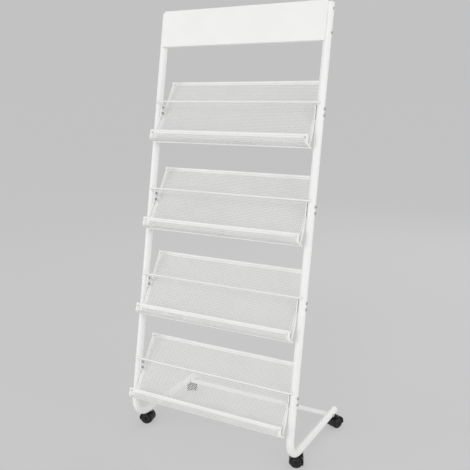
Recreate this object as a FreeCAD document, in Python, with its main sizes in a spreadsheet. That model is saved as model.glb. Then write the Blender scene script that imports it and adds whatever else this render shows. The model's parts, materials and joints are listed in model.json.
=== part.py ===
import FreeCAD, Part
import Sketcher
import math
import os
import re
from FreeCAD import Placement, Rotation, Vector

# Mobile display rack for magazines: two bent side tubes on twin-wheel castors, four sloping
# trays with a retaining wire each, a blank header panel.  Millimetres, +Z up, front faces -Y.

doc = FreeCAD.newDocument("DisplayRack")
sheet = doc.addObject("Spreadsheet::Sheet", "Sizes")

SIZES = [
    # side tubes
    ("half_width", "301.5"), ("tube_rad", "12.5"), ("tube_wall", "1.5"), ("lean", "11.86"),
    ("corner_y", "-189.5"), ("foot_z", "63"), ("bend_rad", "62"), ("upright_len", "1420"),
    ("foot_len", "390"), ("front_stem", "96"), ("stem_from_end", "18"), ("bar_from_end", "43"),
    # trays
    ("first_station", "274"), ("tray_pitch", "298"), ("tray_tilt", "21.3"), ("tray_drop", "187"),
    ("tray_front", "29.5"), ("panel_len", "228"), ("floor_len", "27.5"), ("lip_len", "24"),
    ("lip_open", "14"), ("tray_bend", "8"), ("rod_rad", "4"), ("leg_rad", "3.4"),
    ("side_gap", "0.3"), ("pocket_out", "1"), ("pocket_lean", "8"), ("pocket_tail", "4.4"),
    ("leg_sink", "1.5"), ("bar_over", "0.6"),
    ("bottom_rod_rad", "3"), ("bottom_rod_off", "0.7"), ("mesh_thick", "1.2"), ("weld_gap", "0.2"),
    ("grid_bar", "10"), ("grid_margin", "8"),
    # retaining wires, brackets and screws
    ("wire_rad", "2.5"), ("wire_front", "23.8"), ("wire_drop", "50"), ("wire_bend", "8"),
    ("wire_depth", "9.5"), ("plate_thick", "3"), ("plate_top", "56"), ("plate_low", "99"),
    ("plate_front", "10"), ("screw_high", "67"), ("screw_low", "87"), ("screw_rad", "2.5"),
    ("fit_gap", "0.05"), ("head_rad", "4.4"), ("head_high", "2.8"), ("nut_flats", "7.6"),
    ("nut_high", "3.6"), ("screw_tail", "1.2"),
    # header
    ("header_inset", "2"), ("header_over", "6"), ("header_high", "120"), ("sheet_thick", "1.2"),
    ("return_inset", "5"), ("return_deep", "12"), ("flange_wide", "15"), ("header_screw", "36"),
    # plugs and rear bar
    ("cap_high", "3"), ("plug_deep", "8"), ("plug_gap", "0.1"), ("bar_rad", "8"),
    ("bolt_rad", "3"), ("bolt_reach", "18"), ("bolt_head_rad", "5"), ("bolt_head_high", "4"),
    # castors
    ("trail", "14"), ("wheel_rad", "21.5"), ("wheel_in", "6.2"), ("wheel_out", "19"),
    ("cap_rise", "1.2"), ("web_half", "5.6"), ("guard_in", "22.4"), ("guard_out", "23.8"),
    ("guard_half", "19.6"), ("guard_low_near", "14"), ("guard_low_far", "4"),
    ("axle_rad", "2.5"), ("axle_half", "17"), ("stem_rad", "4"), ("collar_rad", "9"),
    ("collar_high", "1"), ("boss_rad", "8.5"), ("run_gap", "0.3"), ("socket_rad", "8"),
    ("socket_half", "7.3"), ("hub_rad", "9"),
    # brake pedals: the pin and the outline are set out from the axle
    ("pin_back", "12"), ("pin_up", "23.4"), ("pin_rad", "1.6"), ("lug_half", "2"),
    ("pedal_half", "4.4"), ("pedal_tip_half", "6.5"),
    # resting directions of the castors, degrees about the vertical
    ("turn_front_left", "103"), ("turn_front_right", "114"), ("turn_rear_left", "30"),
    ("turn_rear_right", "-22"),
]
DERIVED = [
    ("tube_bore", "=tube_rad - tube_wall"),
    ("rear_stem", "=foot_len - stem_from_end"), ("bar_from_corner", "=foot_len - bar_from_end"),
    ("pocket_half", "=half_width - tube_rad + pocket_out"),
    ("header_half", "=half_width - header_inset"),
    ("header_low", "=upright_len + header_over - header_high"),
    ("return_half", "=half_width - tube_rad - return_inset"),
    ("bend_run", "=bend_rad / tan((90 - lean) / 2)"),
    ("up_y", "=bend_run * sin(lean)"), ("up_z", "=bend_run * cos(lean)"),
    ("arc_y", "=bend_run"), ("arc_z", "=bend_rad"),
    ("top_y", "=upright_len * sin(lean)"), ("top_z", "=upright_len * cos(lean)"),
    ("full_tilt", "=lean + tray_tilt"),
    ("lip_run", "=tray_bend * tan((90 - lip_open) / 2)"),
    ("floor_end", "=floor_len - lip_run"),
    ("lip_y0", "=floor_len + lip_run * sin(lip_open)"), ("lip_z0", "=lip_run * cos(lip_open)"),
    ("lip_y1", "=floor_len + lip_len * sin(lip_open)"), ("lip_z1", "=lip_len * cos(lip_open)"),
    ("leg_half", "=half_width - tube_rad - side_gap - leg_rad"),
    ("mesh_half", "=leg_half - leg_rad - weld_gap"),
    ("lip_bar_half", "=pocket_half - lip_len * cos(lip_open) * sin(pocket_lean) + leg_rad + bar_over"),
    ("top_bar_half", "=leg_half + leg_rad + bar_over"),
    ("mesh_trim", "=rod_rad + weld_gap"), ("mesh_off", "=mesh_thick / 2"),
    ("mesh_top", "=panel_len - mesh_trim"),
    ("grid_half", "=mesh_half - grid_margin"), ("grid_low", "=lip_z1 + grid_margin / 2"),
    ("grid_step_x", "=(2 * grid_half + grid_bar) / 12"),
    ("grid_step_z", "=(mesh_top - grid_margin - grid_low + grid_bar) / 5"),
    ("inner_x", "=half_width - tube_rad"), ("outer_x", "=half_width + tube_rad"),
    ("plate_x", "=inner_x - plate_thick"), ("nut_x", "=plate_x - nut_high"),
    ("tail_x", "=nut_x - screw_tail"), ("head_x", "=outer_x + head_high"),
    ("leg_off", "=leg_rad + weld_gap"),
    ("plate_hi_y", "=(tray_drop - plate_top) * tan(tray_tilt) - tray_front - leg_off / cos(tray_tilt)"),
    ("plate_lo_y", "=(tray_drop - plate_low) * tan(tray_tilt) - tray_front - leg_off / cos(tray_tilt)"),
    ("wire_out_y", "=wire_front - wire_bend"), ("wire_in_x", "=half_width - wire_bend"),
    ("header_back", "=tube_rad + weld_gap"), ("header_face", "=header_back + sheet_thick"),
    ("header_mid", "=header_high / 2"), ("flange_x", "=plate_x - flange_wide"),
    ("return_inner", "=header_high - sheet_thick"),
    ("bar_half", "=half_width - 6"), ("cope_rad", "=tube_rad + weld_gap"),
    ("bolt_tip", "=inner_x - bolt_reach"), ("bolt_head_x", "=outer_x + bolt_head_high"),
    ("axle_z", "=wheel_rad"), ("tube_under", "=foot_z - tube_rad"),
    ("pin_y", "=trail + pin_back"), ("pin_z", "=axle_z + pin_up"),
    ("boss_top", "=tube_under - collar_high - run_gap"),
    ("collar_low", "=tube_under - collar_high"),
    ("dome_x", "=wheel_out + cap_rise"),
]
ALL_SIZES = SIZES + DERIVED
NAMES = set(alias for alias, text in ALL_SIZES)
for row, (alias, text) in enumerate(ALL_SIZES, 1):
    sheet.set("A%d" % row, alias)
    sheet.set("B%d" % row, text)
    sheet.setAlias("B%d" % row, alias)
worked = doc.addObject("Spreadsheet::Sheet", "Worked")
known = {}
doc.recompute()


def full(text):
    """Expression with the sheet's name put before each size."""
    return re.sub(r"[a-z][a-z_0-9]*", lambda m: "Sizes." + m.group(0) if m.group(0) in NAMES
                  else m.group(0), text)


def now(text):
    """What an expression comes to at present."""
    if text not in known:
        cell = "A%d" % (len(known) + 1)
        worked.set(cell, "=" + full(text))
        worked.recompute()
        got = worked.get(cell)
        known[text] = float(getattr(got, "Value", got))
    return known[text]


def bind(obj, path, text):
    obj.setExpression(path, full(text))


# ---------------------------------------------------------------- sketches
def new_body(label):
    body = doc.addObject("PartDesign::Body", label)
    body.Label = label
    return body


def origin_plane(body, role):
    for item in body.Origin.OriginFeatures:
        if item.Role == role:
            return item
    raise RuntimeError(role)


def new_sketch(body, role, away=None, tilt=None):
    """Sketch on an origin plane, moved along its normal and tipped about its own x."""
    sk = body.newObject("Sketcher::SketchObject", "%s_outline%d" % (body.Name, len(body.Group)))
    sk.AttachmentSupport = [(origin_plane(body, role), "")]
    sk.MapMode = "FlatFace"
    if tilt is not None:
        sk.AttachmentOffset = Placement(Vector(0, 0, 0), Rotation(Vector(1, 0, 0), now(tilt)))
        bind(sk, ".AttachmentOffset.Rotation.Angle", tilt)
    if away is not None:
        bind(sk, ".AttachmentOffset.Base.z", away)
    return sk


def hold(sk, kind, geo, pos, text):
    """One coordinate of a point of the sketch, tied to the sizes."""
    index = sk.addConstraint(Sketcher.Constraint(kind, -1, 1, geo, pos, now(text)))
    if text != "0":
        bind(sk, "Constraints[%d]" % index, text)


def hold_point(sk, geo, pos, spot):
    hold(sk, "DistanceX", geo, pos, spot[0])
    hold(sk, "DistanceY", geo, pos, spot[1])


def at(spot):
    return Vector(now(spot[0]), now(spot[1]), 0)


def circle(sk, x, y, rad):
    geo = sk.addGeometry(Part.Circle(at((x, y)), Vector(0, 0, 1), now(rad)), False)
    hold_point(sk, geo, 3, (x, y))
    index = sk.addConstraint(Sketcher.Constraint("Radius", geo, now(rad)))
    bind(sk, "Constraints[%d]" % index, rad)


def polygon(sk, spots):
    """Closed outline with straight edges through the spots."""
    first = sk.GeometryCount
    count = len(spots)
    for k in range(count):
        sk.addGeometry(Part.LineSegment(at(spots[k]), at(spots[(k + 1) % count])), False)
    for k in range(count):
        sk.addConstraint(Sketcher.Constraint("Coincident", first + k, 2, first + (k + 1) % count, 1))
    for k in range(count):
        hold_point(sk, first + k, 1, spots[k])


def chain(sk, runs, arcs):
    """Straight runs joined end to end: (start, end) of each run, and between two runs the
    (centre, radius) of an arc, or None where they meet.  As many arcs as runs close the outline."""
    lines = []
    for start, end in runs:
        geo = sk.addGeometry(Part.LineSegment(at(start), at(end)), False)
        hold_point(sk, geo, 1, start)
        hold_point(sk, geo, 2, end)
        lines.append(geo)
    for k, arc in enumerate(arcs):
        if arc is not None:
            follow = (k + 1) % len(runs)
            bow(sk, at(runs[k][1]), at(runs[follow][0]), arc[0], arc[1], (lines[k], 2),
                (lines[follow], 1))


def bow(sk, start, end, centre, rad, before, after):
    """Short arc about a centre, from the end of one edge to the start of another."""
    mid = at(centre)
    first = math.atan2(start.y - mid.y, start.x - mid.x)
    last = math.atan2(end.y - mid.y, end.x - mid.x)
    sweep = (last - first) % (2 * math.pi)
    one, two = 1, 2
    if sweep > math.pi:
        first, sweep = last, 2 * math.pi - sweep
        one, two = 2, 1
    ring = Part.Circle(mid, Vector(0, 0, 1), now(rad))
    geo = sk.addGeometry(Part.ArcOfCircle(ring, first, first + sweep), False)
    sk.addConstraint(Sketcher.Constraint("Coincident", before[0], before[1], geo, one))
    sk.addConstraint(Sketcher.Constraint("Coincident", geo, two, after[0], after[1]))
    index = sk.addConstraint(Sketcher.Constraint("Radius", geo, now(rad)))
    bind(sk, "Constraints[%d]" % index, rad)


# ---------------------------------------------------------------- features
def feature(body, kind, profile, **more):
    made = body.newObject("PartDesign::" + kind, "%s_%s%d" % (body.Name, kind, len(body.Group)))
    made.Profile = profile
    for key, value in more.items():
        setattr(made, key, value)
    profile.Visibility = False
    return made


def pad(body, sk, length, both=False, back=False):
    made = feature(body, "Pad", sk, Midplane=both, Reversed=back)
    bind(made, "Length", length)
    return made


def drill(body, sk, length=None, back=False):
    """Cut the sketch right through both ways, or to a depth."""
    if length is None:
        return feature(body, "Pocket", sk, Type=1, Midplane=True)
    made = feature(body, "Pocket", sk, Reversed=back)
    bind(made, "Length", length)
    return made


def spin(body, sk, axis):
    made = feature(body, "Revolution", sk, Angle=360.0)
    made.ReferenceAxis = (sk, [axis])
    return made


def pipe(body, path, profile):
    made = feature(body, "AdditivePipe", profile)
    made.Spine = (path, ["Edge%d" % (k + 1) for k in range(path.GeometryCount)])
    path.Visibility = False
    return made


def mirrored(body, made, role="YZ_Plane"):
    twin = body.newObject("PartDesign::Mirrored", body.Name + "_mirror%d" % len(body.Group))
    twin.Originals = [made]
    twin.MirrorPlane = (origin_plane(body, role), [""])
    body.Tip = twin
    return twin


def repeated(body, made, sk, reach, count):
    """The feature count times over, evenly, along the sketch's own x."""
    row = body.newObject("PartDesign::LinearPattern", body.Name + "_row%d" % len(body.Group))
    row.Originals = [made]
    row.Direction = (sk, ["H_Axis"])
    row.Occurrences = count
    bind(row, "Length", reach)
    body.Tip = row
    return row


def place(obj, x="0", y="0", z="0", axis=(0, 0, 1), angle=None):
    """Own placement, each number an expression on the sizes."""
    turn = Rotation() if angle is None else Rotation(Vector(*axis), now(angle))
    obj.Placement = Placement(Vector(now(x), now(y), now(z)), turn)
    bind(obj, ".Placement.Base.x", x)
    bind(obj, ".Placement.Base.y", y)
    bind(obj, ".Placement.Base.z", z)
    if angle is not None:
        bind(obj, ".Placement.Rotation.Angle", angle)


def on_uprights(obj, along, x="0", front="0"):
    """Stand a piece in the leaning plane of the uprights, a distance up from the foot corner."""
    y = "corner_y + (%s) * sin(lean) - (%s) * cos(lean)" % (along, front)
    z = "foot_z + (%s) * cos(lean) + (%s) * sin(lean)" % (along, front)
    place(obj, x, y, z, (-1, 0, 0), "lean")


def station(tray):
    """Height of a tray along the uprights; tray 1 is the top one."""
    return "(first_station + %d * tray_pitch)" % (4 - tray)


TRAYS = (1, 2, 3, 4)
parts = []


# ---------------------------------------------------------------- side tubes
def side_tube(label, side):
    """One bent tube: leaning upright, bend at the front, foot running to the rear."""
    body = new_body(label)
    path = new_sketch(body, "YZ_Plane")
    chain(path, [(("top_y", "top_z"), ("up_y", "up_z")), (("bend_run", "0"), ("foot_len", "0"))],
          [(("bend_run", "bend_rad"), "bend_rad")])
    ring = new_sketch(body, "XZ_Plane", away="-foot_len")
    circle(ring, "0", "0", "tube_rad")
    circle(ring, "0", "0", "tube_bore")
    pipe(body, path, ring)
    cross = new_sketch(body, "YZ_Plane")
    spots = [station(tray) + " - " + drop for tray in TRAYS for drop in ("screw_high", "screw_low")]
    spots += ["header_low + header_mid - header_screw", "header_low + header_mid + header_screw"]
    for along in spots:
        circle(cross, "(%s) * sin(lean)" % along, "(%s) * cos(lean)" % along, "screw_rad + fit_gap")
    circle(cross, "bar_from_corner", "0", "bolt_rad + fit_gap")
    drill(body, cross)
    front = new_sketch(body, "XZ_Plane", tilt="-lean")
    for tray in TRAYS:
        circle(front, "0", station(tray) + " - wire_drop", "wire_rad + fit_gap")
    drill(body, front, "tube_rad + 5", back=True)
    under = new_sketch(body, "XY_Plane")
    for spot in ("front_stem", "rear_stem"):
        circle(under, "0", spot, "stem_rad + fit_gap")
    drill(body, under, "tube_rad + 5")
    place(body, "%d * half_width" % side, "corner_y", "foot_z")
    parts.append(body)


side_tube("left_side_tube", -1)
side_tube("right_side_tube", 1)


# ---------------------------------------------------------------- plugs and rear bar
def end_plug(label):
    """Domed push-in plug, its axis along its own Z."""
    body = new_body(label)
    sk = new_sketch(body, "XZ_Plane")
    polygon(sk, [("0", "-plug_deep"), ("tube_bore - plug_gap", "-plug_deep"),
                 ("tube_bore - plug_gap", "0"), ("tube_rad", "0"), ("tube_rad", "cap_high * 0.3"),
                 ("tube_rad * 0.85", "cap_high * 0.8"), ("tube_rad * 0.5", "cap_high"),
                 ("0", "cap_high")])
    spin(body, sk, "V_Axis")
    parts.append(body)
    return body


for name, side in (("left", "-half_width"), ("right", "half_width")):
    on_uprights(end_plug(name + "_top_cap"), "upright_len", side)
    place(end_plug(name + "_foot_cap"), side, "corner_y + foot_len", "foot_z", (-1, 0, 0), "90")


def rear_bar():
    """Bar between the two feet, its ends saddled to the foot tubes and tapped for a bolt."""
    body = new_body("rear_cross_bar")
    sk = new_sketch(body, "YZ_Plane")
    circle(sk, "0", "0", "bar_rad")
    pad(body, sk, "2 * bar_half", both=True)
    saddle = new_sketch(body, "XZ_Plane")
    circle(saddle, "half_width", "0", "cope_rad")
    circle(saddle, "-half_width", "0", "cope_rad")
    drill(body, saddle)
    tap = new_sketch(body, "YZ_Plane")
    circle(tap, "0", "0", "bolt_rad + fit_gap")
    drill(body, tap)
    core = new_sketch(body, "YZ_Plane")
    circle(core, "0", "0", "bar_rad - 1")
    pad(body, core, "2 * (bolt_tip - 2)", both=True)
    place(body, "0", "corner_y + bar_from_corner", "foot_z")
    parts.append(body)


rear_bar()


# ---------------------------------------------------------------- screws
def screw_group(label, rad, head, head_x, tip, spots, nut=None):
    """Like screws from both sides: each is turned about X, and spots are (y, z) of the axes."""
    body = new_body(label)
    body.AllowCompound = True
    last = None
    for y, z in spots:
        heads = new_sketch(body, "YZ_Plane", away="outer_x")
        circle(heads, y, z, head)
        last = pad(body, heads, head_x + " - outer_x")
        mirrored(body, last)
        shank = new_sketch(body, "YZ_Plane", away="outer_x")
        circle(shank, y, z, rad)
        last = pad(body, shank, "outer_x - " + tip, back=True)
        mirrored(body, last)
        if nut:
            ring = new_sketch(body, "YZ_Plane", away="plate_x")
            hexagon(ring, y, z, nut)
            last = pad(body, ring, "nut_high", back=True)
            mirrored(body, last)
    parts.append(body)
    return body


def hexagon(sk, y, z, flats):
    half = flats + " / 2"
    arm = flats + " / 1.7320508"
    polygon(sk, [(y + " - " + half, z + " + " + arm + " / 2"), (y, z + " + " + arm),
                 (y + " + " + half, z + " + " + arm + " / 2"),
                 (y + " + " + half, z + " - " + arm + " / 2"), (y, z + " - " + arm),
                 (y + " - " + half, z + " - " + arm + " / 2")])


bolts = screw_group("rear_cross_bar_bolts", "bolt_rad", "bolt_head_rad", "bolt_head_x", "bolt_tip",
                    [("0", "0")])
place(bolts, "0", "corner_y + bar_from_corner", "foot_z")


# ---------------------------------------------------------------- header
def header_panel():
    """Blank sign panel: face sheet with a return along the top and the bottom edge."""
    body = new_body("header_panel")
    face = new_sketch(body, "XZ_Plane", away="header_back")
    polygon(face, [("-header_half", "0"), ("header_half", "0"), ("header_half", "header_high"),
                   ("-header_half", "header_high")])
    pad(body, face, "sheet_thick")
    for low, high in (("0", "sheet_thick"), ("header_high - sheet_thick", "header_high")):
        lip = new_sketch(body, "YZ_Plane")
        polygon(lip, [("-header_back - 0.1", low), ("return_deep - header_back", low),
                      ("return_deep - header_back", high), ("-header_back - 0.1", high)])
        pad(body, lip, "2 * return_half", both=True)
    on_uprights(body, "header_low")
    parts.append(body)


def header_bracket(label, side):
    """Angle piece: one flange behind the panel, one against the inside of the upright."""
    body = new_body(label)
    sk = new_sketch(body, "XY_Plane")
    back = "-header_back"
    polygon(sk, [(side + "inner_x", back), (side + "inner_x", "plate_front"),
                 (side + "plate_x", "plate_front"), (side + "plate_x", back + " + plate_thick"),
                 (side + "flange_x", back + " + plate_thick"), (side + "flange_x", back)])
    pad(body, sk, "header_high - 4 * sheet_thick", both=True)
    holes = new_sketch(body, "YZ_Plane")
    circle(holes, "0", "header_screw", "screw_rad + fit_gap")
    circle(holes, "0", "-header_screw", "screw_rad + fit_gap")
    drill(body, holes)
    on_uprights(body, "header_low + header_mid")
    parts.append(body)


header_panel()
header_bracket("left_header_bracket", "-")
header_bracket("right_header_bracket", "")
on_uprights(screw_group("header_screws", "screw_rad", "head_rad", "head_x", "tail_x",
                        [("0", "header_screw"), ("0", "-header_screw")], "nut_flats"),
            "header_low + header_mid")


# ---------------------------------------------------------------- trays
LIP = ("-floor_len - %s * sin(lip_open)", "%s * cos(lip_open)")


def on_tray(obj, tray):
    """Stand a piece in a tray's own frame: its rear bottom corner, Z up the back panel."""
    along = station(tray) + " - tray_drop"
    y = "corner_y + (%s) * sin(lean) - tray_front * cos(lean)" % along
    z = "foot_z + (%s) * cos(lean) + tray_front * sin(lean)" % along
    place(obj, "0", y, z, (-1, 0, 0), "full_tilt")


def tray_rim(tray):
    """Welded rod frame: side rods, pocket rods outside them, top bar, lip bar, bottom bar."""
    body = new_body("tray_%d_rim" % tray)
    legs = new_sketch(body, "XY_Plane", away="-leg_sink")
    circle(legs, "leg_half", "0", "leg_rad")
    circle(legs, "-leg_half", "0", "leg_rad")
    pad(body, legs, "panel_len + leg_sink")
    path = new_sketch(body, "YZ_Plane", away="pocket_half", tilt="-pocket_lean")
    chain(path, [(("pocket_tail", "0"), ("-floor_end", "0")),
                 (("-lip_y0", "lip_z0"), (LIP[0] % "lip_len", LIP[1] % "lip_len"))],
          [(("-floor_end", "tray_bend"), "tray_bend")])
    ring = new_sketch(body, "XZ_Plane", away="-pocket_tail")
    circle(ring, "pocket_half", "0", "leg_rad")
    mirrored(body, pipe(body, path, ring))
    top = new_sketch(body, "YZ_Plane")
    circle(top, "0", "panel_len", "rod_rad")
    pad(body, top, "2 * top_bar_half", both=True)
    lip = new_sketch(body, "YZ_Plane")
    circle(lip, "-lip_y1", "lip_z1 * cos(pocket_lean)", "rod_rad")
    pad(body, lip, "2 * lip_bar_half", both=True)
    low = new_sketch(body, "YZ_Plane")
    circle(low, "bottom_rod_off", "-bottom_rod_off", "bottom_rod_rad")
    pad(body, low, "2 * pocket_half", both=True)
    on_tray(body, tray)
    parts.append(body)


def mesh_side(shift):
    """Runs of the tray outline, moved off its centre line by shift."""
    lean_y, lean_z = " - %s * cos(lip_open)" % shift, " - %s * sin(lip_open)" % shift
    end = "(lip_len - mesh_trim)"
    return [((shift, "mesh_top"), (shift, "tray_bend")),
            (("-tray_bend", "-" + shift), ("-floor_end", "-" + shift)),
            (("-lip_y0" + lean_y, "lip_z0" + lean_z),
             (LIP[0] % end + lean_y, LIP[1] % end + lean_z))]


def tray_mesh(tray):
    """Sheet inside the rod frame, folded to the same outline, its back panel open in a grid."""
    body = new_body("tray_%d_mesh" % tray)
    sk = new_sketch(body, "YZ_Plane")
    outer, inner = mesh_side("mesh_off"), mesh_side("(-mesh_off)")
    inner = [(end, start) for start, end in reversed(inner)]
    ends = [((outer[2][1]), (inner[0][0])), ((inner[2][1]), (outer[0][0]))]
    wide, tight = "tray_bend + mesh_off", "tray_bend - mesh_off"
    knees = [("-tray_bend", "tray_bend"), ("-floor_end", "tray_bend")]
    chain(sk, outer + ends[:1] + inner + ends[1:],
          [(knees[0], wide), (knees[1], wide), None, None, (knees[1], tight), (knees[0], tight),
           None, None])
    pad(body, sk, "2 * mesh_half", both=True)
    column = new_sketch(body, "XZ_Plane")
    for k in range(5):
        low = "grid_low + %d * grid_step_z" % k
        high = low + " + grid_step_z - grid_bar"
        right = "grid_step_x - grid_bar - grid_half"
        polygon(column, [("-grid_half", low), (right, low), (right, high), ("-grid_half", high)])
    repeated(body, drill(body, column), column, "11 * grid_step_x", 12)
    on_tray(body, tray)
    parts.append(body)


def tray_bracket(tray, label, side):
    """Gusset plate between the tray's side rod and the upright, with two screw holes."""
    body = new_body("tray_%d_%s_bracket" % (tray, label))
    sk = new_sketch(body, "YZ_Plane", away=side)
    polygon(sk, [("plate_hi_y", "-plate_top"), ("-plate_front", "-plate_top"),
                 ("-plate_front", "-plate_low"), ("plate_lo_y", "-plate_low")])
    pad(body, sk, "plate_thick", back=(label == "right"))
    holes = new_sketch(body, "YZ_Plane")
    circle(holes, "0", "-screw_high", "screw_rad + fit_gap")
    circle(holes, "0", "-screw_low", "screw_rad + fit_gap")
    drill(body, holes)
    on_uprights(body, station(tray))
    parts.append(body)


def tray_wire(tray):
    """Retaining wire across the front, its ends bent back into the uprights."""
    body = new_body("tray_%d_wire" % tray)
    path = new_sketch(body, "XY_Plane")
    deep, turn, near = "-wire_depth", "-wire_front + wire_bend", "half_width - wire_bend"
    chain(path, [(("-half_width", deep), ("-half_width", turn)),
                 (("-(%s)" % near, "-wire_front"), (near, "-wire_front")),
                 (("half_width", turn), ("half_width", deep))],
          [(("-(%s)" % near, turn), "wire_bend"), ((near, turn), "wire_bend")])
    ring = new_sketch(body, "XZ_Plane", away="wire_depth")
    circle(ring, "-half_width", "0", "wire_rad")
    pipe(body, path, ring)
    on_uprights(body, station(tray) + " - wire_drop")
    parts.append(body)


for tray in TRAYS:
    tray_rim(tray)
    tray_mesh(tray)
    tray_bracket(tray, "left", "-inner_x")
    tray_bracket(tray, "right", "inner_x")
    tray_wire(tray)
    on_uprights(screw_group("tray_%d_screws" % tray, "screw_rad", "head_rad", "head_x", "tail_x",
                            [("0", "-screw_high"), ("0", "-screw_low")], "nut_flats"),
                station(tray))


# ---------------------------------------------------------------- castors
def castor(label, x, y, turn, pedal):
    """Twin-wheel castor: stem held in the foot, hood that swivels on it, axle, two wheels."""
    for piece, build in (("stem", castor_stem), ("hood", castor_hood), ("axle", castor_axle)):
        body = new_body("%s_castor_%s" % (label, piece))
        build(body, pedal)
        place(body, x, y, "0", (0, 0, 1), turn)
        parts.append(body)
    for side, sign in (("left", "-1"), ("right", "1")):
        body = new_body("%s_castor_%s_wheel" % (label, side))
        castor_wheel(body, sign)
        place(body, x + " - trail * sin(%s)" % turn, y + " + trail * cos(%s)" % turn, "axle_z",
              (0, 0, 1), turn)
        parts.append(body)
    if pedal:
        body = new_body("%s_castor_brake_pedal" % label)
        brake_pedal(body)
        place(body, x, y, "0", (0, 0, 1), turn)
        parts.append(body)


def castor_stem(body, pedal):
    """Plain pin with a thin collar that bears on the foot tube."""
    sk = new_sketch(body, "XZ_Plane")
    polygon(sk, [("0", "axle_z + 5"), ("stem_rad - 0.6", "axle_z + 5"), ("stem_rad", "axle_z + 5.6"),
                 ("stem_rad", "collar_low"), ("collar_rad", "collar_low"),
                 ("collar_rad", "tube_under"), ("stem_rad", "tube_under"),
                 ("stem_rad", "foot_z + 6"), ("0", "foot_z + 6")])
    spin(body, sk, "V_Axis")


def castor_hood(body, pedal):
    """Moulded hood: web between the wheels, guard over them, boss for the stem."""
    drum = new_sketch(body, "YZ_Plane")
    circle(drum, "trail", "axle_z", "guard_out")
    pad(body, drum, "2 * guard_half", both=True)
    boss = new_sketch(body, "XY_Plane", away="axle_z")
    circle(boss, "0", "0", "boss_rad")
    pad(body, boss, "boss_top - axle_z")
    for away, back in (("web_half", True), ("-web_half", False)):
        room = new_sketch(body, "YZ_Plane", away=away)
        circle(room, "trail", "axle_z", "guard_in")
        drill(body, room, "guard_half", back=back)
    under = new_sketch(body, "YZ_Plane")
    polygon(under, [("trail - 2 * guard_out", "axle_z - guard_low_near"),
                    ("trail - 2 * guard_out", "-guard_out"), ("trail + 2 * guard_out", "-guard_out"),
                    ("trail + 2 * guard_out", "axle_z - guard_low_far")])
    drill(body, under)
    hub = new_sketch(body, "YZ_Plane")
    circle(hub, "trail", "axle_z", "hub_rad")
    pad(body, hub, "2 * web_half", both=True)
    if pedal:
        lug = new_sketch(body, "YZ_Plane")
        polygon(lug, [("pin_y - 6", "pin_z - 3"), ("pin_y - 2.6", "pin_z + 2.6"),
                      ("pin_y + 2.2", "pin_z + 2.4"), ("pin_y + 2.2", "pin_z - 7")])
        pad(body, lug, "2 * lug_half", both=True)
        eye = new_sketch(body, "YZ_Plane")
        circle(eye, "pin_y", "pin_z", "pin_rad + fit_gap")
        drill(body, eye)
    bore = new_sketch(body, "XY_Plane", away="axle_z + 4")
    circle(bore, "0", "0", "stem_rad + fit_gap")
    drill(body, bore, "boss_top", back=True)
    eye = new_sketch(body, "YZ_Plane")
    circle(eye, "trail", "axle_z", "axle_rad + fit_gap")
    drill(body, eye)


def castor_axle(body, pedal):
    sk = new_sketch(body, "YZ_Plane")
    circle(sk, "trail", "axle_z", "axle_rad")
    pad(body, sk, "2 * axle_half", both=True)


def castor_wheel(body, sign):
    """Wheel turned about X: rounded tread, dished face with a raised cap, blind bore."""
    sk = new_sketch(body, "XY_Plane")
    rows = [("wheel_in", "axle_rad + fit_gap"), ("wheel_in", "wheel_rad - 3"),
            ("wheel_in + 1", "wheel_rad - 1"), ("wheel_in + 3", "wheel_rad"),
            ("wheel_out - 3", "wheel_rad"), ("wheel_out - 1", "wheel_rad - 1"),
            ("wheel_out", "wheel_rad - 3"), ("wheel_out - 1", "wheel_rad - 5"),
            ("wheel_out", "wheel_rad * 0.7"), ("dome_x", "wheel_rad * 0.4"), ("dome_x", "0"),
            ("axle_half + 0.3", "0"), ("axle_half + 0.3", "axle_rad + fit_gap")]
    if sign == "-1":
        rows = [("-(%s)" % across, out) for across, out in rows]
    polygon(sk, rows)
    spin(body, sk, "H_Axis")


def brake_pedal(body):
    """Rocking pedal on top of the hood: its pin through the lug, two cheeks, tread plate."""
    pin = new_sketch(body, "YZ_Plane")
    circle(pin, "pin_y", "pin_z", "pin_rad")
    pad(body, pin, "2 * pedal_half", both=True)
    for away, back in (("lug_half + 0.4", False), ("-lug_half - 0.4", True)):
        cheek = new_sketch(body, "YZ_Plane", away=away)
        polygon(cheek, [("pin_y - 2.6", "pin_z + 1.2"), ("pin_y - 1.5", "pin_z + 3.4"),
                        ("pin_y + 2.5", "pin_z + 2.8"), ("pin_y + 8", "pin_z - 1.9"),
                        ("pin_y + 7", "pin_z - 4.8"), ("pin_y + 2.5", "pin_z - 2")])
        pad(body, cheek, "pedal_half - lug_half - 0.4", back=back)
    tread = new_sketch(body, "YZ_Plane")
    polygon(tread, [("pin_y + 4", "pin_z + 2"), ("pin_y + 8.4", "pin_z - 2.8"),
                    ("pin_y + 7.4", "pin_z - 5.2"), ("pin_y + 4", "pin_z - 2")])
    pad(body, tread, "2 * pedal_tip_half", both=True)


def castor_sockets():
    """Bushes inside the feet that take the stems."""
    body = new_body("castor_sockets")
    body.AllowCompound = True
    sk = new_sketch(body, "XY_Plane", away="-socket_half")
    for x in ("-half_width", "half_width"):
        for spot in ("front_stem", "rear_stem"):
            circle(sk, x, spot, "socket_rad")
    pad(body, sk, "2 * socket_half")
    bore = new_sketch(body, "XY_Plane", away="-socket_half")
    for x in ("-half_width", "half_width"):
        for spot in ("front_stem", "rear_stem"):
            circle(bore, x, spot, "stem_rad + fit_gap")
    drill(body, bore, "2 * socket_half", back=True)
    place(body, "0", "corner_y", "foot_z")
    parts.append(body)


castor_sockets()
castor("front_left", "-half_width", "(corner_y + front_stem)", "turn_front_left", True)
castor("front_right", "half_width", "(corner_y + front_stem)", "turn_front_right", True)
castor("rear_left", "-half_width", "(corner_y + rear_stem)", "turn_rear_left", False)
castor("rear_right", "half_width", "(corner_y + rear_stem)", "turn_rear_right", False)

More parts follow.
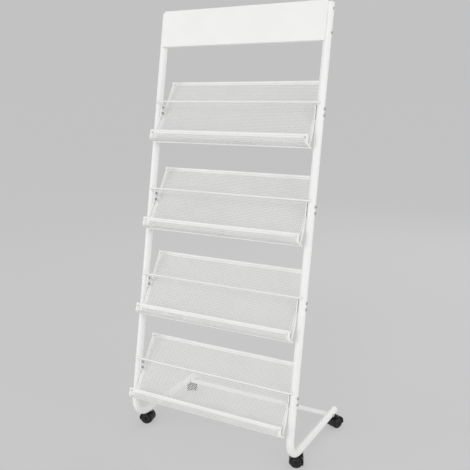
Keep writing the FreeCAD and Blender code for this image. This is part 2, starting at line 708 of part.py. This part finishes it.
doc.recompute()
bad = []
for item in doc.Objects:
    if "Invalid" in item.State or "Error" in item.State:
        bad.append(item.Label)
for item in parts:
    if item.Shape.isNull() or not item.Shape.isValid():
        bad.append("shape of " + item.Label)
if bad:
    raise RuntimeError("not sound: " + ", ".join(bad))
os.makedirs("parts", exist_ok=True)
for item in parts:
    item.Shape.exportStep("parts/%s.step" % item.Label)
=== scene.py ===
import json
import math

import bmesh
import bpy
from mathutils import Matrix, Vector

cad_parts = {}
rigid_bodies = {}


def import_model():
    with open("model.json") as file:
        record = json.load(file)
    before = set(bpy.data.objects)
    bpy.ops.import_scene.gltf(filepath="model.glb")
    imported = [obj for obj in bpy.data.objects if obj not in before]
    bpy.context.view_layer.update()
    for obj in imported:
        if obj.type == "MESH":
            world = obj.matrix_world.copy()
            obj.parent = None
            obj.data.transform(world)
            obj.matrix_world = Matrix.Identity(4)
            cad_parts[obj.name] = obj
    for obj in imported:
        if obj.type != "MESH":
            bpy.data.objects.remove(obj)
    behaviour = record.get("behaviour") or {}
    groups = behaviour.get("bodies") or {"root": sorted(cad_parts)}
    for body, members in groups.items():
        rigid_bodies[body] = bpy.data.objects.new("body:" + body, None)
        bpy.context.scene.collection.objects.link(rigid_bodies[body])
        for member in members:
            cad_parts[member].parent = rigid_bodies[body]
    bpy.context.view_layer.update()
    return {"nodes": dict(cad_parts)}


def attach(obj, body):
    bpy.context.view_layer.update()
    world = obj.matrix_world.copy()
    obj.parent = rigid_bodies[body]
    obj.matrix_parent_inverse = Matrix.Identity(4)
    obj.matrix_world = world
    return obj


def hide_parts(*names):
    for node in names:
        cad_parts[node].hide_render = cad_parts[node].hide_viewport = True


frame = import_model()

# Mobile display rack. Metres; +Z up, the trays and the header face -Y.
MM = 0.001
ROOT_3 = math.sqrt(3)

# side tubes: the upright leans back, and its line meets the foot's at the corner
LEAN = math.radians(11.86)
CORNER_Y, FOOT_Z, HALF_WIDTH = -0.1895, 0.063, 0.3015

# trays, counted from the top: their places along the upright, then the folded sheet
TRAYS = (1, 2, 3, 4)
TRAY_TILT = math.radians(33.16)
LOWEST_STATION, TRAY_PITCH, TRAY_DROP, TRAY_FRONT = 0.274, 0.298, 0.187, 0.0295
PANEL_LEN, FLOOR_LEN, LIP_LEN, TRAY_BEND = 0.228, 0.0275, 0.024, 0.008
LIP_OPEN = math.radians(14)
ROD_CLEAR = 4.2 * MM
SHEET_HALF, POCKET_HALF, LIP_HALF, WIDENS_OVER = 0.2817, 0.2864, 0.2836, 0.005

# perforated sheet: six-sided holes inside a plain hem, which is a little thicker
HOLE_PITCH, HOLE_WALL, SHEET_THICK, HEM_WIDE = 6.0 * MM, 1.35 * MM, 1.2 * MM, 4.5 * MM
HOLE_SIDES, HOLE_TURN = 6, math.radians(30)
HEM_THICKER, HEM_STEPS, BEND_STEPS = 1.35, 90, 8

# castors: where each swivels, and its turn in degrees
TRAIL, WHEEL_RAD = 0.014, 0.0215
FRONT_Y, REAR_Y = CORNER_Y + 0.096, CORNER_Y + 0.372
CASTORS = {
    "front_left": (-HALF_WIDTH, FRONT_Y, 103),
    "front_right": (HALF_WIDTH, FRONT_Y, 114),
    "rear_left": (-HALF_WIDTH, REAR_Y, 30),
    "rear_right": (HALF_WIDTH, REAR_Y, -22),
}
WHEEL_STEPS, SHARP_EDGE = 56, math.radians(35)

# finishes: scales of the cloudy shade and the gloss, edges' pointiness from sound to rubbed
CLOUD_SCALE, GLOSS_SCALE = 9.0, 60.0
SOUND_EDGE, RUBBED_EDGE = 0.54, 0.62
GRAIN_DETAIL, GRAIN_DEPTH = 2.0, 0.0002

# studio
FLOOR_COLOUR, FLOOR_ROUGH, FLOOR_SHINE, FLOOR_REACH = (0.90, 0.90, 0.90, 1), 0.9, 0.1, 30.0
FLOOR_TONE, FLOOR_SHARE, BACKDROP_TONE = (0.51, 0.51, 0.51, 1), 0.78, (0.54, 0.54, 0.54, 1)
ROOM_COLOUR, ROOM_LIGHT = (1, 1, 1, 1), 0.60
KEY_WAY, KEY_WIDE, KEY_POWER = (-0.12, 0.76, -0.64), math.radians(24), 0.62
SOFTBOXES = {  # spot, aim, size, power
    "fill_softbox": ((3.0, -0.9, 1.5), (0, 0, 0.7), 1.6, 22.0),
    "low_softbox": ((-3.6, -3.8, 1.4), (0, 0, 0.7), 1.8, 55.0),
    "back_softbox": ((0.4, 3.2, 2.4), (0, 0, 0.8), 1.8, 24.0),
}

# camera: spot, then yaw, pitch and roll in degrees; its focal length counts in pixels
CAMERA_SPOT, CAMERA_TURN = (1.0956, -1.8793, 1.2376), (29.904, 13.306, -0.932)
SENSOR_WIDE, FOCAL_LENGTH, PICTURE_WIDE = 36.0, 665.9, 470


# ---------------------------------------------------------------- finishes
def link(mat, start, end):
    mat.node_tree.links.new(start, end)


def noise(mat, coords, scale, detail=3.0, rough=0.5):
    node = mat.node_tree.nodes.new("ShaderNodeTexNoise")
    node.inputs["Scale"].default_value = scale
    node.inputs["Detail"].default_value = detail
    node.inputs["Roughness"].default_value = rough
    link(mat, coords, node.inputs["Vector"])
    return node.outputs["Fac"]


def spread(mat, value, low, high, from_low=0.3, from_high=0.7):
    """A texture's value brought to a range."""
    node = mat.node_tree.nodes.new("ShaderNodeMapRange")
    node.inputs["From Min"].default_value = from_low
    node.inputs["From Max"].default_value = from_high
    node.inputs["To Min"].default_value = low
    node.inputs["To Max"].default_value = high
    link(mat, value, node.inputs["Value"])
    return node.outputs["Result"]


def mixed(mat, factor, first, second):
    """Colour between two, first a socket or a colour."""
    node = mat.node_tree.nodes.new("ShaderNodeMix")
    node.data_type = "RGBA"
    link(mat, factor, node.inputs["Factor"])
    if isinstance(first, tuple):
        node.inputs["A"].default_value = first
    else:
        link(mat, first, node.inputs["A"])
    node.inputs["B"].default_value = second
    return node.outputs["Result"]


def bumped(mat, height, strength, distance):
    node = mat.node_tree.nodes.new("ShaderNodeBump")
    node.inputs["Strength"].default_value = strength
    node.inputs["Distance"].default_value = distance
    link(mat, height, node.inputs["Height"])
    return node.outputs["Normal"]


def finish(name, colour, shade, worn, grain, bump, rough, wear=0.35, metal=0.0, shine=0.5):
    """Surface with cloudy shade, fine grain, uneven gloss and edges rubbed to another colour."""
    mat = bpy.data.materials.new(name)
    mat.use_nodes = True
    shader = mat.node_tree.nodes["Principled BSDF"]
    shader.inputs["Metallic"].default_value = metal
    shader.inputs["Specular IOR Level"].default_value = shine
    coords = mat.node_tree.nodes.new("ShaderNodeTexCoord").outputs["Object"]
    cloudy = spread(mat, noise(mat, coords, CLOUD_SCALE), 0.0, 1.0)
    body = mixed(mat, cloudy, colour, shade)
    edge = mat.node_tree.nodes.new("ShaderNodeNewGeometry").outputs["Pointiness"]
    rubbed = spread(mat, edge, 0.0, wear, SOUND_EDGE, RUBBED_EDGE)
    link(mat, mixed(mat, rubbed, body, worn), shader.inputs["Base Color"])
    gloss = spread(mat, noise(mat, coords, GLOSS_SCALE), *rough)
    link(mat, gloss, shader.inputs["Roughness"])
    peel = noise(mat, coords, grain, GRAIN_DETAIL)
    link(mat, bumped(mat, peel, bump, GRAIN_DEPTH), shader.inputs["Normal"])
    return mat


def add_wheel_face(mat, colour, ridge_highlight):
    """Moulded face in its own shade inside the tread, with a painted highlight that makes its
    ridges paler.
    """
    nodes = mat.node_tree.nodes
    shader = nodes["Principled BSDF"]
    tread = shader.inputs["Base Color"].links[0].from_socket
    for name, shade in (("wheel_face", colour), ("wheel_ridge", ridge_highlight)):
        part = nodes.new("ShaderNodeAttribute")
        part.attribute_name = name
        tread = mixed(mat, part.outputs["Fac"], tread, shade)
    link(mat, tread, shader.inputs["Base Color"])


POWDER = finish("white_powder_coat", (0.83, 0.83, 0.82, 1), (0.79, 0.79, 0.785, 1),
                (0.88, 0.88, 0.87, 1), 700.0, 0.12, (0.34, 0.46))
SHEET = finish("coated_perforated_sheet", (0.81, 0.81, 0.80, 1), (0.77, 0.77, 0.765, 1),
               (0.85, 0.85, 0.84, 1), 900.0, 0.08, (0.42, 0.54), wear=0.1)
ZINC = finish("zinc_plated_steel", (0.58, 0.59, 0.61, 1), (0.48, 0.49, 0.51, 1),
              (0.66, 0.67, 0.69, 1), 1500.0, 0.10, (0.32, 0.46), metal=0.95)
NYLON = finish("black_moulded_nylon", (0.006, 0.006, 0.0065, 1), (0.010, 0.010, 0.0105, 1),
               (0.030, 0.030, 0.031, 1), 1300.0, 0.20, (0.30, 0.42), wear=0.5, shine=0.22)
TREAD = finish("black_wheel_tread", (0.008, 0.008, 0.0085, 1), (0.015, 0.015, 0.0145, 1),
               (0.032, 0.031, 0.030, 1), 1100.0, 0.30, (0.38, 0.52), wear=0.5, shine=0.22)
# the last colour is a painted highlight on the wheel's ridges, not wear
add_wheel_face(TREAD, (0.009, 0.009, 0.0095, 1), (0.085, 0.085, 0.088, 1))
PLUG = finish("white_moulded_plug", (0.80, 0.80, 0.79, 1), (0.76, 0.76, 0.75, 1),
              (0.84, 0.84, 0.83, 1), 1200.0, 0.15, (0.40, 0.52))


def paint(obj, mat):
    obj.data.materials.clear()
    obj.data.materials.append(mat)


def finish_for(node):
    if "screws" in node or "bolts" in node or node.endswith(("_stem", "_axle")):
        return ZINC
    if node.endswith("_cap") or node == "castor_sockets":
        return PLUG
    if node.endswith("_wheel"):
        return TREAD
    if "castor" in node:
        return NYLON
    return POWDER


# ---------------------------------------------------------------- objects and trees of nodes
def new_object(name, data):
    obj = bpy.data.objects.new(name, data)
    bpy.context.scene.collection.objects.link(obj)
    return obj


def add_piece(name, mesh, body, node):
    """A finished mesh that rides on a body and is seen in place of a node."""
    obj = new_object(name, mesh)
    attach(obj, body)
    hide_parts(node)


class Tree:
    """A geometry tree with named inputs; new() adds a node and plugs its inputs."""

    def __init__(self, name, inputs):
        self.group = bpy.data.node_groups.new(name, "GeometryNodeTree")
        face = self.group.interface
        face.new_socket("Geometry", in_out="INPUT", socket_type="NodeSocketGeometry")
        self.ids = {}
        for label, kind in inputs:
            made = face.new_socket(label, in_out="INPUT", socket_type="NodeSocket" + kind)
            self.ids[label] = made.identifier
        face.new_socket("Geometry", in_out="OUTPUT", socket_type="NodeSocketGeometry")
        self.given = self.group.nodes.new("NodeGroupInput").outputs

    def plug(self, value, socket):
        if hasattr(value, "is_output"):
            self.group.links.new(value, socket)
        else:
            socket.default_value = value

    def new(self, kind, plugs=(), **settings):
        node = self.group.nodes.new(kind)
        for key, value in settings.items():
            setattr(node, key, value)
        for key, value in dict(plugs).items():
            self.plug(value, node.inputs[key])
        return node

    def calc(self, what, one, two):
        return self.new("ShaderNodeMath", {0: one, 1: two}, operation=what).outputs[0]

    def vector(self, x=0.0, y=0.0, z=0.0):
        return self.new("ShaderNodeCombineXYZ", {"X": x, "Y": y, "Z": z}).outputs[0]

    def vector_calc(self, what, one, two):
        return self.new("ShaderNodeVectorMath", {0: one, 1: two}, operation=what).outputs[0]

    def moved(self, geometry, **how):
        return self.new("GeometryNodeTransform", {"Geometry": geometry, **how}).outputs[0]

    def flipped(self, geometry):
        return self.new("GeometryNodeFlipFaces", {0: geometry}).outputs[0]

    def placed(self, geometry, how, where):
        """Geometry with its points at new places, or shifted, by the socket that is named."""
        plugs = {"Geometry": geometry, how: where}
        return self.new("GeometryNodeSetPosition", plugs).outputs[0]

    def real(self, geometry):
        return self.new("GeometryNodeRealizeInstances", {"Geometry": geometry}).outputs[0]

    def join(self, *pieces):
        node = self.new("GeometryNodeJoinGeometry")
        for piece in reversed(pieces):
            self.group.links.new(piece, node.inputs[0])
        return node.outputs[0]

    def close(self, geometry, material):
        plugs = {"Geometry": self.real(geometry), "Material": material}
        done = self.new("GeometryNodeSetMaterial", plugs)
        end = self.group.nodes.new("NodeGroupOutput")
        self.group.links.new(done.outputs[0], end.inputs[0])


def grow(tree, name, base, values):
    """Run a tree on a base mesh and keep the outcome as a plain mesh."""
    holder = new_object(name + "_base", base)
    modifier = holder.modifiers.new("grow", "NODES")
    modifier.node_group = tree.group
    for label, value in values.items():
        modifier[tree.ids[label]] = value
    bpy.context.view_layer.update()
    seen = holder.evaluated_get(bpy.context.evaluated_depsgraph_get())
    mesh = bpy.data.meshes.new_from_object(seen)
    holder.modifiers.remove(modifier)
    bpy.data.objects.remove(holder)
    return mesh


# ---------------------------------------------------------------- perforated sheets
def ring_cell(tree, pitch, wall, thick):
    """One hole of the sheet: the faces round it, front and back, and the wall through it."""
    outer = tree.calc("DIVIDE", pitch, ROOT_3)
    inner = tree.calc("SUBTRACT", outer, tree.calc("DIVIDE", wall, ROOT_3))
    loops = []
    for radius in (outer, inner):
        ring = tree.new("GeometryNodeCurvePrimitiveCircle",
                        {"Resolution": HOLE_SIDES, "Radius": radius}).outputs[0]
        loops.append(tree.moved(ring, Rotation=(0, 0, HOLE_TURN)))
    face = tree.new("GeometryNodeFillCurve", {0: tree.join(*loops)}).outputs[0]
    half = tree.calc("MULTIPLY", thick, 0.5)
    under = tree.calc("MULTIPLY", thick, -0.5)
    front = tree.moved(face, Translation=tree.vector(z=half))
    back = tree.flipped(tree.moved(face, Translation=tree.vector(z=under)))
    rise = tree.new("GeometryNodeCurvePrimitiveLine",
                    {"Start": tree.vector(y=under), "End": tree.vector(y=half)}).outputs[0]
    through = tree.new("GeometryNodeCurveToMesh", {0: loops[1], 1: rise}).outputs[0]
    return tree.join(front, back, tree.flipped(through))


def hole_rows(tree, cell, wide, long, pitch):
    """The cell repeated in rows, every other row half a pitch along."""
    row = tree.calc("MULTIPLY", pitch, ROOT_3 / 2)
    count_x = tree.calc("FLOOR", tree.calc("DIVIDE", wide, pitch), 0.0)
    count_y = tree.calc("FLOOR", tree.calc("DIVIDE", long, row), 0.0)
    grid = tree.new("GeometryNodeMeshGrid", {
        "Size X": tree.calc("MULTIPLY", tree.calc("SUBTRACT", count_x, 1.0), pitch),
        "Size Y": tree.calc("MULTIPLY", tree.calc("SUBTRACT", count_y, 1.0), row),
        "Vertices X": count_x, "Vertices Y": count_y}).outputs[0]
    index = tree.new("GeometryNodeInputIndex").outputs[0]
    odd = tree.calc("MODULO", tree.calc("MODULO", index, count_y), 2.0)
    shift = tree.calc("MULTIPLY", tree.calc("SUBTRACT", odd, 0.5),
                      tree.calc("MULTIPLY", pitch, 0.5))
    spots = tree.placed(grid, "Offset", tree.vector(x=shift))
    set_out = tree.new("GeometryNodeInstanceOnPoints", {"Points": spots, "Instance": cell})
    return tree.real(set_out.outputs[0])


def hems(tree, wide, long, hem, thick):
    """Plain strips along the four edges of the flat sheet."""
    strips = []
    for across, sign in ((False, 1), (False, -1), (True, 1), (True, -1)):
        size = tree.vector(wide if across else hem, hem if across else long, thick)
        plugs = {"Size": size, "Vertices X": 3 if across else 2,
                 "Vertices Y": 2 if across else HEM_STEPS, "Vertices Z": 2}
        strip = tree.new("GeometryNodeMeshCube", plugs).outputs[0]
        reach = tree.calc("SUBTRACT", long if across else wide, hem)
        away = tree.calc("MULTIPLY", reach, 0.5 * sign)
        shift = tree.vector(y=away) if across else tree.vector(x=away)
        strips.append(tree.moved(strip, Translation=shift))
    return tree.join(*strips)


def folded(tree, flat, outline, long, half, widths):
    """Flat sheet laid along the tray's outline and spread to the width it has at each place."""
    spot = tree.new("GeometryNodeInputPosition").outputs[0]
    parts = tree.new("ShaderNodeSeparateXYZ", {0: spot}).outputs
    along = tree.calc("ADD", parts["Y"], tree.calc("MULTIPLY", long, 0.5))
    sample = tree.new("GeometryNodeSampleCurve", {"Curves": outline, "Length": along},
                      mode="LENGTH").outputs
    normal = tree.vector_calc("CROSS_PRODUCT", sample["Tangent"], tree.vector(x=-1.0))
    lift = tree.new("ShaderNodeVectorMath", {0: normal, "Scale": parts["Z"]},
                    operation="SCALE").outputs[0]
    half_here = half
    for start, end, low, high in widths:
        step = tree.new("ShaderNodeMapRange",
                        {"Value": along, "From Min": start, "From Max": end,
                         "To Min": 0.0, "To Max": tree.calc("SUBTRACT", high, low)})
        half_here = tree.calc("ADD", half_here, step.outputs[0])
    x = tree.calc("MULTIPLY", parts["X"], tree.calc("DIVIDE", half_here, half))
    place = tree.vector_calc("ADD", sample["Position"], lift)
    place = tree.vector_calc("ADD", place, tree.vector(x=x))
    return tree.placed(flat, "Position", place)


def sheet_tree():
    tree = Tree("perforated_tray_sheet", [
        ("Half width", "Float"), ("Pocket half width", "Float"), ("Lip half width", "Float"),
        ("Widening starts", "Float"), ("Narrowing starts", "Float"), ("Hole pitch", "Float"),
        ("Wall between holes", "Float"), ("Sheet thickness", "Float"), ("Hem width", "Float"),
        ("Bend radius", "Float"), ("Finish", "Material")])
    given = tree.given
    half, pocket_half = given["Half width"], given["Pocket half width"]
    thick, pitch = given["Sheet thickness"], given["Hole pitch"]
    line = tree.new("GeometryNodeMeshToCurve", {0: given["Geometry"]}).outputs[0]
    bend = {"Curve": line, "Count": BEND_STEPS, "Radius": given["Bend radius"]}
    outline = tree.new("GeometryNodeFilletCurve", bend, mode="POLY").outputs[0]
    long = tree.new("GeometryNodeCurveLength", {0: outline}).outputs[0]
    wide = tree.calc("MULTIPLY", half, 2.0)
    cell = ring_cell(tree, pitch, given["Wall between holes"], thick)
    holes = hole_rows(tree, cell, wide, long, pitch)
    hem_thick = tree.calc("MULTIPLY", thick, HEM_THICKER)
    strips = hems(tree, wide, long, given["Hem width"], hem_thick)
    widening, narrowing = given["Widening starts"], given["Narrowing starts"]
    widths = [(widening, tree.calc("ADD", widening, WIDENS_OVER), half, pocket_half),
              (narrowing, long, pocket_half, given["Lip half width"])]
    shaped = folded(tree, tree.join(holes, strips), outline, long, half, widths)
    tree.close(shaped, given["Finish"])
    return tree


def tray_corner(tray):
    """Rear bottom corner of a tray."""
    along = LOWEST_STATION + (len(TRAYS) - tray) * TRAY_PITCH - TRAY_DROP
    return Vector((0, CORNER_Y + along * math.sin(LEAN) - TRAY_FRONT * math.cos(LEAN),
                   FOOT_Z + along * math.cos(LEAN) + TRAY_FRONT * math.sin(LEAN)))


def tray_outline():
    """Centre line of the sheet, from the top of the panel round to the lip."""
    top = PANEL_LEN - ROD_CLEAR
    lip = LIP_LEN - ROD_CLEAR
    return [(0, 0, top), (0, 0, 0), (0, -FLOOR_LEN, 0),
            (0, -FLOOR_LEN - lip * math.sin(LIP_OPEN), lip * math.cos(LIP_OPEN))]


def tray_sheets():
    """One sheet grown flat to its outline and folded, then set into each tray."""
    tree = sheet_tree()
    spots = tray_outline()
    base = bpy.data.meshes.new("tray_outline")
    base.from_pydata(spots, [(k, k + 1) for k in range(len(spots) - 1)], [])
    base.materials.append(SHEET)
    panel = PANEL_LEN - ROD_CLEAR
    corner_cut = TRAY_BEND * (2 - math.pi / 2)  # what a bend takes off the outline's length
    mesh = grow(tree, "tray_sheet", base, {
        "Half width": SHEET_HALF, "Pocket half width": POCKET_HALF, "Lip half width": LIP_HALF,
        "Widening starts": panel - corner_cut + TRAY_BEND,
        "Narrowing starts": panel - corner_cut + FLOOR_LEN, "Hole pitch": HOLE_PITCH,
        "Wall between holes": HOLE_WALL, "Sheet thickness": SHEET_THICK, "Hem width": HEM_WIDE,
        "Bend radius": TRAY_BEND, "Finish": SHEET})
    tip = Matrix.Rotation(-TRAY_TILT, 4, "X")
    for tray in TRAYS:
        copy = mesh.copy()
        copy.transform(Matrix.Translation(tray_corner(tray)) @ tip)
        add_piece("tray_%d_perforated_sheet" % tray, copy, "rack",
                  "tray_%d_mesh" % tray)


# ---------------------------------------------------------------- castor wheels
def wheel_section():
    """A wheel's section from the bore's blind end to the hub cap, as rows of distance out
    along the axle, radius, and kind of surface. The figures are millimetres, the rows metres."""
    rad = WHEEL_RAD / MM
    bore = [(17.3, 0.0), (17.3, 2.55), (6.2, 2.55)]
    tread = [(6.2, rad - 3.0), (6.6, rad - 1.6), (7.6, rad - 0.6), (9.0, rad - 0.05),
             (11.4, rad), (11.6, rad - 0.5), (12.2, rad - 0.5), (12.4, rad), (14.6, rad),
             (16.2, rad - 0.2), (17.6, rad - 0.9), (18.6, rad - 2.0), (19.0, rad - 3.2)]
    groove = [(18.6, rad - 3.9), (17.5, rad - 4.3), (17.3, rad - 5.4), (18.2, rad - 5.8)]
    outer_ridge = [(18.7, rad - 6.4)]
    dish = [(18.8, rad * 0.62), (18.4, rad * 0.55), (17.9, rad * 0.52), (17.9, rad * 0.46)]
    cap_ridge = [(19.2, rad * 0.43)]
    cap = [(19.9, rad * 0.37), (20.2, rad * 0.26), (20.2, 0.0)]
    section = [(bore, "tread"), (tread, "tread"), (groove, "face"), (outer_ridge, "ridge"),
               (dish, "face"), (cap_ridge, "ridge"), (cap, "face")]
    return [(out * MM, radius * MM, kind) for rows, kind in section for out, radius in rows]


def turned(section, sign):
    """Section spun about X into a closed shell, with its face and its ridges marked."""
    made = bmesh.new()
    is_face = made.verts.layers.float.new("wheel_face")
    is_ridge = made.verts.layers.float.new("wheel_ridge")
    rings = []
    for out, radius, kind in section:
        ring = []
        for k in range(WHEEL_STEPS if radius > 0 else 1):
            turn = 2 * math.pi * k / WHEEL_STEPS
            spot = (sign * out, radius * math.cos(turn), radius * math.sin(turn))
            ring.append(made.verts.new(spot))
            ring[-1][is_face] = 0.0 if kind == "tread" else 1.0
            ring[-1][is_ridge] = 1.0 if kind == "ridge" else 0.0
        rings.append(ring if radius > 0 else ring * WHEEL_STEPS)
    for one, two in zip(rings, rings[1:]):
        for k in range(WHEEL_STEPS):
            near = (k + 1) % WHEEL_STEPS
            corners = list(dict.fromkeys([one[k], one[near], two[near], two[k]]))
            if len(corners) > 2:
                made.faces.new(corners)
    bmesh.ops.recalc_face_normals(made, faces=made.faces)
    mesh = bpy.data.meshes.new("turned")
    made.to_mesh(mesh)
    made.free()
    for face in mesh.polygons:
        face.use_smooth = True
    mesh.set_sharp_from_angle(angle=SHARP_EDGE)
    return mesh


def castor_wheels():
    for castor, (x, y, turn) in CASTORS.items():
        angle = math.radians(turn)
        centre = Vector((x - TRAIL * math.sin(angle), y + TRAIL * math.cos(angle), WHEEL_RAD))
        place = Matrix.Translation(centre) @ Matrix.Rotation(angle, 4, "Z")
        for side, sign in (("left", -1), ("right", 1)):
            mesh = turned(wheel_section(), sign)
            mesh.transform(place)
            mesh.materials.append(TREAD)
            node = "%s_castor_%s_wheel" % (castor, side)
            add_piece(node + "_turned", mesh, node, node)


# ---------------------------------------------------------------- studio
def stage_finish(name, colour, seen_as, share):
    """Pale stage that the camera sees part way to an even tone, so that shadows stay."""
    mat = bpy.data.materials.new(name)
    mat.use_nodes = True
    nodes = mat.node_tree.nodes
    shader = nodes["Principled BSDF"]
    shader.inputs["Base Color"].default_value = colour
    shader.inputs["Roughness"].default_value = FLOOR_ROUGH
    shader.inputs["Specular IOR Level"].default_value = FLOOR_SHINE
    glow = nodes.new("ShaderNodeEmission")
    glow.inputs["Color"].default_value = seen_as
    path = nodes.new("ShaderNodeLightPath")
    seen = nodes.new("ShaderNodeMath")
    seen.operation = "MAXIMUM"
    link(mat, path.outputs["Is Camera Ray"], seen.inputs[0])
    link(mat, path.outputs["Is Glossy Ray"], seen.inputs[1])
    part = nodes.new("ShaderNodeMath")
    part.operation = "MULTIPLY"
    part.inputs[1].default_value = share
    link(mat, seen.outputs[0], part.inputs[0])
    blend = nodes.new("ShaderNodeMixShader")
    link(mat, part.outputs[0], blend.inputs[0])
    link(mat, shader.outputs[0], blend.inputs[1])
    link(mat, glow.outputs[0], blend.inputs[2])
    link(mat, blend.outputs[0], nodes["Material Output"].inputs["Surface"])
    return mat


def studio_floor():
    mesh = bpy.data.meshes.new("studio_floor")
    far = FLOOR_REACH
    mesh.from_pydata([(-far, -far, 0), (far, -far, 0), (far, far, 0), (-far, far, 0)], [],
                     [(0, 1, 2, 3)])
    mesh.materials.append(stage_finish("studio_floor", FLOOR_COLOUR, FLOOR_TONE, FLOOR_SHARE))
    new_object("studio_floor", mesh)


def pointed(way):
    """Turn of a lamp that shines this way."""
    return Vector(way).to_track_quat("-Z", "Y").to_euler()


def lamp(name, spot, aim, size, power):
    data = bpy.data.lights.new(name, "AREA")
    data.shape = "SQUARE"
    data.size = size
    data.energy = power
    obj = new_object(name, data)
    obj.location = spot
    obj.rotation_euler = pointed(Vector(aim) - Vector(spot))


def studio_light():
    sun = bpy.data.lights.new("key_light", "SUN")
    sun.angle = KEY_WIDE
    sun.energy = KEY_POWER
    new_object("key_light", sun).rotation_euler = pointed(KEY_WAY)
    for name, setting in SOFTBOXES.items():
        lamp(name, *setting)
    world = bpy.data.worlds.new("studio")
    world.use_nodes = True
    nodes, links = world.node_tree.nodes, world.node_tree.links
    room = nodes["Background"]
    room.inputs["Color"].default_value = ROOM_COLOUR
    room.inputs["Strength"].default_value = ROOM_LIGHT
    seen = nodes.new("ShaderNodeBackground")
    seen.inputs["Color"].default_value = BACKDROP_TONE
    path = nodes.new("ShaderNodeLightPath")
    blend = nodes.new("ShaderNodeMixShader")
    links.new(path.outputs["Is Camera Ray"], blend.inputs[0])
    links.new(room.outputs[0], blend.inputs[1])
    links.new(seen.outputs[0], blend.inputs[2])
    links.new(blend.outputs[0], nodes["World Output"].inputs["Surface"])
    bpy.context.scene.world = world


def camera():
    yaw, pitch, roll = (math.radians(v) for v in CAMERA_TURN)
    ahead = Vector((-math.sin(yaw) * math.cos(pitch), math.cos(yaw) * math.cos(pitch),
                    -math.sin(pitch)))
    level = Vector((math.cos(yaw), math.sin(yaw), 0))
    upward = level.cross(ahead)
    right = math.cos(roll) * level + math.sin(roll) * upward
    top = -math.sin(roll) * level + math.cos(roll) * upward
    data = bpy.data.cameras.new("camera")
    data.sensor_width = SENSOR_WIDE
    data.lens = SENSOR_WIDE * FOCAL_LENGTH / PICTURE_WIDE
    obj = new_object("camera", data)
    obj.matrix_world = Matrix.Translation(CAMERA_SPOT) @ Matrix(
        (right, top, -ahead)).transposed().to_4x4()
    bpy.context.scene.camera = obj


bpy.context.scene.view_settings.view_transform = "Standard"
camera()
studio_floor()
studio_light()
for node, solid in frame["nodes"].items():
    paint(solid, finish_for(node))
tray_sheets()
castor_wheels()
